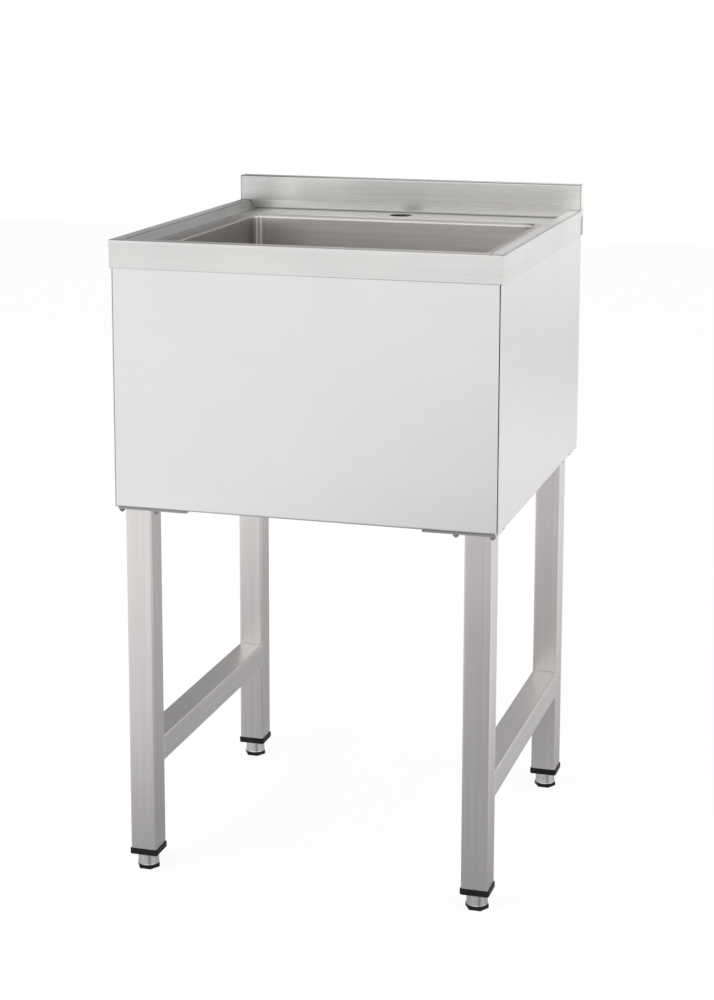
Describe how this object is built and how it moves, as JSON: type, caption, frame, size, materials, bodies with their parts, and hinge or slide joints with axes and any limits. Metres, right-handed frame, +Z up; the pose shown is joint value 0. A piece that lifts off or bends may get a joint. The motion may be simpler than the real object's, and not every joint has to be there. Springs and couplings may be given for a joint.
{
  "type": "utility laundry sink",
  "caption": "Free-standing stainless laundry sink: deep bowl in a skirted cabinet with a splash, open tap hole, basket strainer, square legs with side rails and screw feet.",
  "frame": {"origin": "on the floor, under the middle of the sink as seen from above", "axes": "+Z up, -Y towards the front, where the user stands, +X to the right of a person facing the sink"},
  "size_m": [0.546, 0.559, 0.9435],
  "materials": {
    "brushed_sheet": "brushed stainless sheet, fine level grain",
    "satin_tube": "satin stainless tube and plate",
    "zinc_steel": "zinc-plated steel",
    "polished_steel": "polished stainless",
    "black_plastic": "black moulded nylon",
    "black_rubber": "black rubber",
    "fibre_ring": "brown pressed fibre"
  },
  "bodies": {
    "sink_frame": {"sink_top": "brushed_sheet", "bowl": "brushed_sheet", "front_panel": "brushed_sheet", "back_panel": "brushed_sheet", "left_side_panel": "brushed_sheet", "right_side_panel": "brushed_sheet", "leg_front_left": "satin_tube", "leg_plate_front_left": "satin_tube", "plate_nut_front_left_1": "zinc_steel", "plate_nut_front_left_2": "zinc_steel", "plate_nut_front_left_3": "zinc_steel", "foot_insert_front_left": "black_plastic", "leg_front_right": "satin_tube", "leg_plate_front_right": "satin_tube", "plate_nut_front_right_1": "zinc_steel", "plate_nut_front_right_2": "zinc_steel", "plate_nut_front_right_3": "zinc_steel", "foot_insert_front_right": "black_plastic", "leg_rear_left": "satin_tube", "leg_plate_rear_left": "satin_tube", "plate_nut_rear_left_1": "zinc_steel", "plate_nut_rear_left_2": "zinc_steel", "plate_nut_rear_left_3": "zinc_steel", "foot_insert_rear_left": "black_plastic", "leg_rear_right": "satin_tube", "leg_plate_rear_right": "satin_tube", "plate_nut_rear_right_1": "zinc_steel", "plate_nut_rear_right_2": "zinc_steel", "plate_nut_rear_right_3": "zinc_steel", "foot_insert_rear_right": "black_plastic", "side_rail_left": "satin_tube", "side_rail_right": "satin_tube", "strainer_body": "polished_steel", "tailpiece": "polished_steel", "strainer_locknut": "zinc_steel", "tailpiece_nut": "zinc_steel", "strainer_gasket": "black_rubber", "tailpiece_washer": "black_rubber", "friction_ring": "fibre_ring"},
    "basket": {"basket_cup": "polished_steel", "basket_seal": "black_rubber", "basket_post": "polished_steel"},
    "foot_sleeve_front_left_body": {"foot_sleeve_front_left": "polished_steel"},
    "foot_screw_front_left_body": {"foot_screw_front_left": "black_plastic"},
    "foot_sleeve_front_right_body": {"foot_sleeve_front_right": "polished_steel"},
    "foot_screw_front_right_body": {"foot_screw_front_right": "black_plastic"},
    "foot_sleeve_rear_left_body": {"foot_sleeve_rear_left": "polished_steel"},
    "foot_screw_rear_left_body": {"foot_screw_rear_left": "black_plastic"},
    "foot_sleeve_rear_right_body": {"foot_sleeve_rear_right": "polished_steel"},
    "foot_screw_rear_right_body": {"foot_screw_rear_right": "black_plastic"}
  },
  "joints": [
    {"name": "foot_height_front_left", "type": "slide", "parent": "sink_frame", "child": "foot_sleeve_front_left_body", "axis": [0, 0, -1], "range_m": [-0.012, 0.025]},
    {"name": "foot_turn_front_left", "type": "hinge", "parent": "foot_sleeve_front_left_body", "child": "foot_screw_front_left_body", "pos_m": [-0.24095, -0.24645, 0.003], "axis": [0, 0, -1], "range_deg": [-2880.5, 6000.5]},
    {"name": "foot_height_front_right", "type": "slide", "parent": "sink_frame", "child": "foot_sleeve_front_right_body", "axis": [0, 0, -1], "range_m": [-0.012, 0.025]},
    {"name": "foot_turn_front_right", "type": "hinge", "parent": "foot_sleeve_front_right_body", "child": "foot_screw_front_right_body", "pos_m": [0.24095, -0.24645, 0.003], "axis": [0, 0, -1], "range_deg": [-2880.5, 6000.5]},
    {"name": "foot_height_rear_left", "type": "slide", "parent": "sink_frame", "child": "foot_sleeve_rear_left_body", "axis": [0, 0, -1], "range_m": [-0.012, 0.025]},
    {"name": "foot_turn_rear_left", "type": "hinge", "parent": "foot_sleeve_rear_left_body", "child": "foot_screw_rear_left_body", "pos_m": [-0.24095, 0.22145, 0.003], "axis": [0, 0, -1], "range_deg": [-2880.5, 6000.5]},
    {"name": "foot_height_rear_right", "type": "slide", "parent": "sink_frame", "child": "foot_sleeve_rear_right_body", "axis": [0, 0, -1], "range_m": [-0.012, 0.025]},
    {"name": "foot_turn_rear_right", "type": "hinge", "parent": "foot_sleeve_rear_right_body", "child": "foot_screw_rear_right_body", "pos_m": [0.24095, 0.22145, 0.003], "axis": [0, 0, -1], "range_deg": [-2880.5, 6000.5]},
    {"name": "basket_lift", "type": "slide", "parent": "sink_frame", "child": "basket", "axis": [0, 0, 1], "range_m": [0, 0.3]}
  ],
  "couplings": [
    {"joint": "foot_turn_front_left", "follows": "foot_height_front_left", "rad_per_m": 4188.8},
    {"joint": "foot_turn_front_right", "follows": "foot_height_front_right", "rad_per_m": 4188.8},
    {"joint": "foot_turn_rear_left", "follows": "foot_height_rear_left", "rad_per_m": 4188.8},
    {"joint": "foot_turn_rear_right", "follows": "foot_height_rear_right", "rad_per_m": 4188.8}
  ]
}
